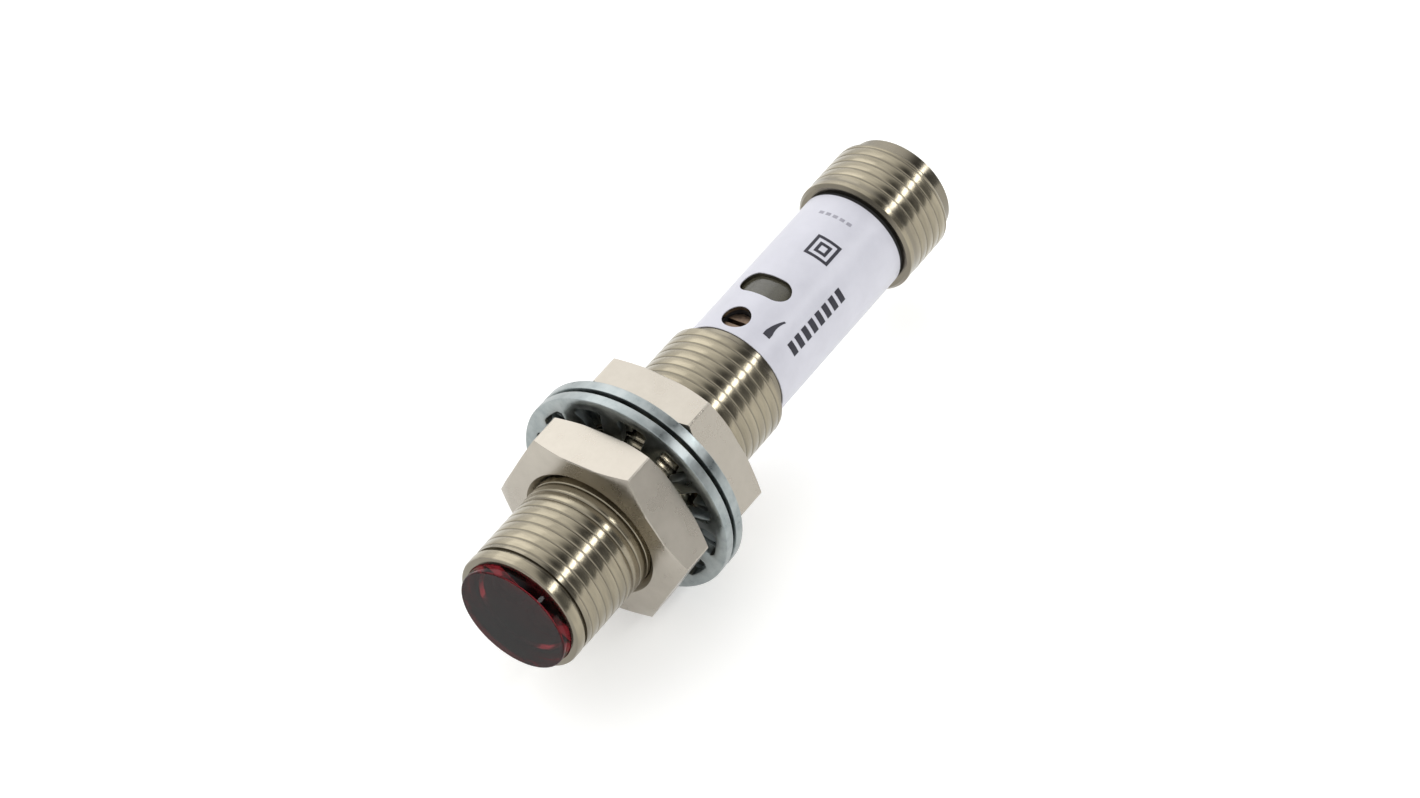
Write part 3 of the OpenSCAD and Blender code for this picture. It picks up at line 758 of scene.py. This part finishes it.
def makeShell():
    front, back = stations("connector_shell")
    crest = reach("connector_shell")
    root = crest - thread["depth"]
    spigot = housing["boreRadius"] - plug["spigotGap"]
    slope = (crest - plug["pilotRadius"]) / (plug["pilotFrom"] - plug["threadTo"])
    backFade = thread["depth"] / slope
    first, last = plug["threadFrom"], plug["threadTo"] + backFade
    socket, stop = plug["socketRadius"], plug["stopRadius"]
    pilot, mouth = plug["pilotRadius"], plug["mouthBevel"]
    collar, edge = plug["collarTo"], plug["collarEdge"]
    shoulder, bevel = plug["shoulder"], plug["shoulderBevel"]
    obj = threadSkin("connector_piece", crest, first, last)
    runOut(obj, root, first, last, plug["startFade"], backFade)
    onlySelect(obj)
    bpy.ops.object.mode_set(mode="EDIT")
    growLoop(obj, last, root, [
        (pilot, plug["pilotFrom"]), (pilot, back - mouth), (pilot - mouth, back), (socket + mouth, back),
        (socket, back - mouth), (socket, insert["from"]), (stop, insert["from"]), (stop, front)])
    growLoop(obj, first, root, [
        (root, collar + 2 * edge), (crest - edge, collar), (crest, collar - edge), (crest, shoulder + bevel),
        (crest - bevel, shoulder), (spigot, shoulder), (spigot, front)])
    pickRims(obj, front)
    bpy.ops.mesh.bridge_edge_loops()
    bpy.ops.object.mode_set(mode="OBJECT")
    mendNormals(obj)
    layDown(obj)
    smoothed(obj, 30)
    placed(obj, "root", "nickel_brass", barrelNickel, "connector_shell")


def aroundPins(obj):                      # four of them on the pin circle, all in one mesh
    aside = pin["circle"] * math.cos(math.pi / 4) * mm
    obj.location = (aside, aside, 0)
    applyPlace(obj)
    bpy.ops.object.mode_set(mode="EDIT")
    bpy.ops.mesh.select_all(action="SELECT")
    bpy.ops.mesh.spin(steps=4, angle=math.tau, center=(0, 0, 0), axis=(0, 0, 1), dupli=True)
    bpy.ops.object.mode_set(mode="OBJECT")
    mendNormals(obj)


def makePins():
    first = stations("contact_pins")[0]
    slim, root, tip, high = pin["radius"], pin["root"], pin["to"], pin["dome"]
    dome = [(slim * math.cos(step * math.pi / 8), tip - high + high * math.sin(step * math.pi / 8))
            for step in range(4)]
    foot = [(0, first), (root, first), (root, insert["to"]), (slim, insert["to"])]
    obj = turned("contact_pins_piece", foot + dome + [(0, tip)], 32)
    aroundPins(obj)
    layDown(obj)
    smoothed(obj)
    placed(obj, "root", "contact_gold", contactGold, "contact_pins")


def makeInsert():
    first, last, edge = insert["from"], insert["to"], insert["edge"]
    rim = plug["socketRadius"] - insert["gap"]
    outer, inner = rim - insert["grooveFrom"], rim - insert["grooveTo"]
    slant, depth = insert["grooveSlant"], insert["grooveDepth"]
    # a moulded groove runs round the face, just inside its rim
    groove = [(outer, last), (outer - slant, last - depth), (inner + slant, last - depth), (inner, last)]
    obj = turned("connector_insert_piece", [(0, first), (rim, first), (rim, last - edge), (rim - edge, last)]
                 + groove + [(0, last)])
    keyEnd = stations("connector_insert")[1]
    nothingSelected()
    keyMiddle = rim - insert["keyHeight"] / 2 - insert["gap"]
    bpy.ops.mesh.primitive_cube_add(size=1, location=(keyMiddle * mm, 0, (first + keyEnd) / 2 * mm))
    key = newest("keyRib")
    key.scale = (insert["keyHeight"] * mm, insert["keyWidth"] * mm, (keyEnd - first) * mm)
    applyPlace(key)
    softEdges(key, edge)
    cutAway(obj, key, "UNION")
    under, over = first - 1, last + 1                # the drill reaches past both faces
    holes = turned("pinHoles", [(0, under), (pin["root"], under), (pin["root"], over), (0, over)], 32)
    aroundPins(holes)
    cutAway(obj, holes)
    layDown(obj)
    smoothed(obj)
    placed(obj, "root", "black_plastic", blackPbt, "connector_insert")


makeShell()
makePins()
makeInsert()
print("plug made")
